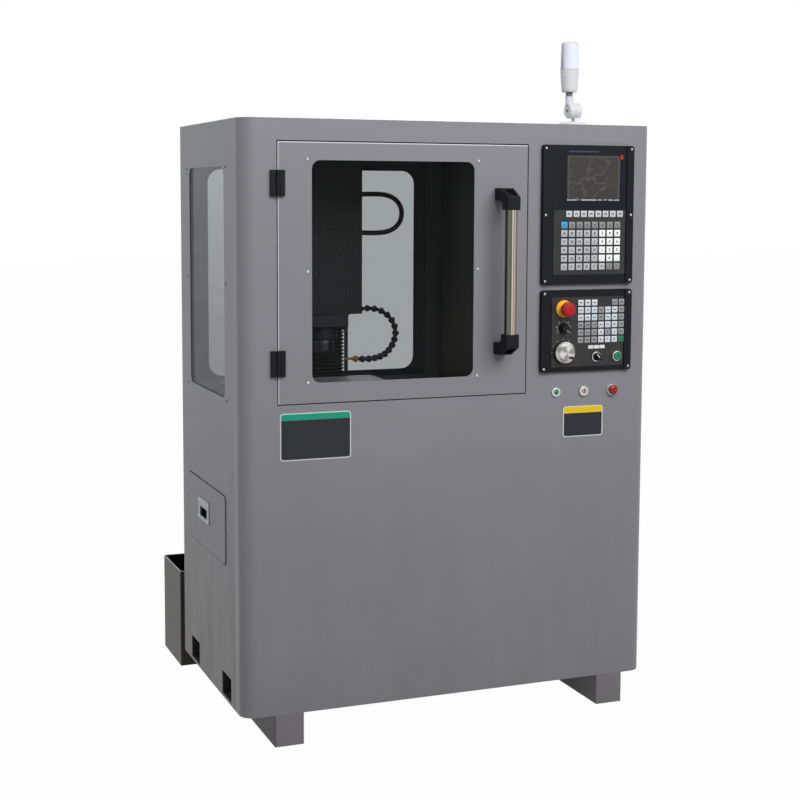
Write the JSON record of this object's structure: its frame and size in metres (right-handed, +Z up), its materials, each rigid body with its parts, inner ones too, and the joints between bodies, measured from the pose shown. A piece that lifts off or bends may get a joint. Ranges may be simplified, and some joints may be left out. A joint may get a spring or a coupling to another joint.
{
  "type": "cnc milling machine",
  "caption": "Enclosed grey CNC milling machine with a windowed front door, black operator panels, a signal lamp on the roof, foot rails and an open coolant tank behind.",
  "frame": {"origin": "centre of the footprint on the floor", "axes": "Z up, the door and the operator panels face -Y, +X to the operator's right"},
  "size_m": [1.256, 1.124, 1.964],
  "materials": {
    "cabinet_grey": "satin",
    "rail_grey": "satin",
    "pan_steel": "satin",
    "tinted_pane": "clear",
    "black_hardware": "satin",
    "steel_pin": "brushed",
    "handle_steel": "brushed",
    "dial_aluminium": "brushed",
    "bezel_black": "satin",
    "screen": "gloss",
    "keypad_film": "matte",
    "estop_yellow": "gloss",
    "estop_red": "gloss",
    "control_black": "satin",
    "bright_rings": "polished",
    "button_green": "gloss",
    "power_red": "gloss",
    "pilot_green": "gloss",
    "lamp_white": "satin",
    "lamp_clear": "clear",
    "casting": "painted",
    "ground_steel": "ground",
    "cover_dark": "satin",
    "motor_black": "satin",
    "bellows_black": "matte",
    "pipe_blue_grey": "satin",
    "hose_blue": "satin",
    "nozzle_orange": "satin",
    "conduit_black": "matte",
    "tank_grey": "satin"
  },
  "bodies": {
    "cabinet": {"front_panel": "cabinet_grey", "left_panel": "cabinet_grey", "right_panel": "cabinet_grey", "rear_panel": "cabinet_grey", "top_panel": "cabinet_grey", "floor_tray": "cabinet_grey", "partition": "cabinet_grey", "foot_rails": "rail_grey", "fork_tubes": "rail_grey", "machine_stand": "rail_grey", "chip_pan": "pan_steel", "side_window": "tinted_pane", "rear_window": "tinted_pane", "hinge_frame_leaves": "black_hardware", "hinge_pins": "steel_pin", "upper_bezel": "bezel_black", "lower_bezel": "bezel_black", "display_screen": "screen", "upper_keypad": "keypad_film", "lower_keypad": "keypad_film", "estop_collar": "estop_yellow", "handwheel_base": "control_black", "control_rings": "bright_rings", "pilot_lens": "pilot_green", "lamp_base": "lamp_white", "mill_base": "casting", "column": "casting", "axis_motors": "motor_black", "way_bellows": "bellows_black", "coolant_pipe": "pipe_blue_grey", "coolant_hose": "hose_blue", "coolant_nozzle": "nozzle_orange", "coolant_tank": "tank_grey"},
    "door": {"door_panel": "cabinet_grey", "door_window": "tinted_pane", "hinge_door_leaves": "black_hardware", "handle_brackets": "black_hardware", "handle_bar": "handle_steel"},
    "drawer": {"chip_drawer": "cabinet_grey", "drawer_pull": "handle_steel"},
    "saddle_slide": {"saddle": "casting", "x_motor": "motor_black"},
    "table": {"work_table": "ground_steel"},
    "table_screw": {"x_screw": "ground_steel"},
    "saddle_screw": {"y_screw": "ground_steel"},
    "head_screw": {"z_screw": "ground_steel"},
    "head": {"head_casting": "casting", "head_cover": "cover_dark", "spindle_motor": "motor_black", "motor_conduit": "conduit_black"},
    "spindle_rotor": {"spindle": "ground_steel"},
    "emergency_stop": {"estop_head": "estop_red"},
    "feed_override": {"feed_knob": "control_black"},
    "handwheel": {"handwheel_dial": "dial_aluminium"},
    "selector": {"selector_knob": "control_black"},
    "start": {"start_button": "button_green"},
    "power": {"power_button": "power_red"},
    "key_switch": {"key_barrel": "bright_rings"},
    "signal_lamp": {"lamp_body": "lamp_white", "lamp_lens": "lamp_clear"}
  },
  "joints": [
    {"name": "door_swing", "type": "hinge", "parent": "cabinet", "child": "door", "pos_m": [-0.5185, -0.483, 1.309], "axis": [0, 0, -1], "range_deg": [0, 165]},
    {"name": "drawer_slide", "type": "slide", "parent": "cabinet", "child": "drawer", "axis": [-1, 0, 0], "range_m": [0, 0.2]},
    {"name": "saddle_y", "type": "slide", "parent": "cabinet", "child": "saddle_slide", "axis": [0, 1, 0], "range_m": [-0.07, 0.035]},
    {"name": "table_x", "type": "slide", "parent": "saddle_slide", "child": "table", "axis": [1, 0, 0], "range_m": [-0.045, 0.16]},
    {"name": "head_z", "type": "slide", "parent": "cabinet", "child": "head", "axis": [0, 0, 1], "range_m": [-0.07, 0.085], "deforming": ["way_bellows"]},
    {"name": "spindle_spin", "type": "hinge", "parent": "head", "child": "spindle_rotor", "pos_m": [-0.259, -0.074, 1.095], "axis": [0, 0, 1], "continuous": true},
    {"name": "table_screw_spin", "type": "hinge", "parent": "saddle_slide", "child": "table_screw", "pos_m": [-0.317, -0.074, 0.862], "axis": [1, 0, 0], "continuous": true},
    {"name": "saddle_screw_spin", "type": "hinge", "parent": "cabinet", "child": "saddle_screw", "pos_m": [-0.259, -0.174, 0.778], "axis": [0, 1, 0], "continuous": true},
    {"name": "head_screw_spin", "type": "hinge", "parent": "cabinet", "child": "head_screw", "pos_m": [-0.259, 0.106, 1.2], "axis": [0, 0, 1], "continuous": true},
    {"name": "emergency_stop_press", "type": "slide", "parent": "cabinet", "child": "emergency_stop", "axis": [0, 1, 0], "range_m": [0, 0.005]},
    {"name": "feed_knob_turn", "type": "hinge", "parent": "cabinet", "child": "feed_override", "pos_m": [0.339, -0.494, 1.139], "axis": [0, 1, 0], "range_deg": [-150, 150]},
    {"name": "handwheel_spin", "type": "hinge", "parent": "cabinet", "child": "handwheel", "pos_m": [0.339, -0.499, 1.07], "axis": [0, 1, 0], "continuous": true},
    {"name": "selector_turn", "type": "hinge", "parent": "cabinet", "child": "selector", "pos_m": [0.447, -0.494, 1.0535], "axis": [0, 1, 0], "range_deg": [0, 90]},
    {"name": "start_button_press", "type": "slide", "parent": "cabinet", "child": "start", "axis": [0, 1, 0], "range_m": [0, 0.004], "stiffness_N_per_m": 600},
    {"name": "power_button_press", "type": "slide", "parent": "cabinet", "child": "power", "axis": [0, 1, 0], "range_m": [0, 0.004], "stiffness_N_per_m": 600},
    {"name": "key_turn", "type": "hinge", "parent": "cabinet", "child": "key_switch", "pos_m": [0.412, -0.48, 0.953], "axis": [0, 1, 0], "range_deg": [0, 90]},
    {"name": "lamp_fold", "type": "hinge", "parent": "cabinet", "child": "signal_lamp", "pos_m": [0.407, -0.394, 1.768], "axis": [-1, 0, 0], "range_deg": [0, 90]}
  ],
  "couplings": [
    {"joint": "table_screw_spin", "follows": "table_x", "rad_per_m": 1256.6},
    {"joint": "saddle_screw_spin", "follows": "saddle_y", "rad_per_m": 1256.6},
    {"joint": "head_screw_spin", "follows": "head_z", "rad_per_m": 1256.6}
  ]
}
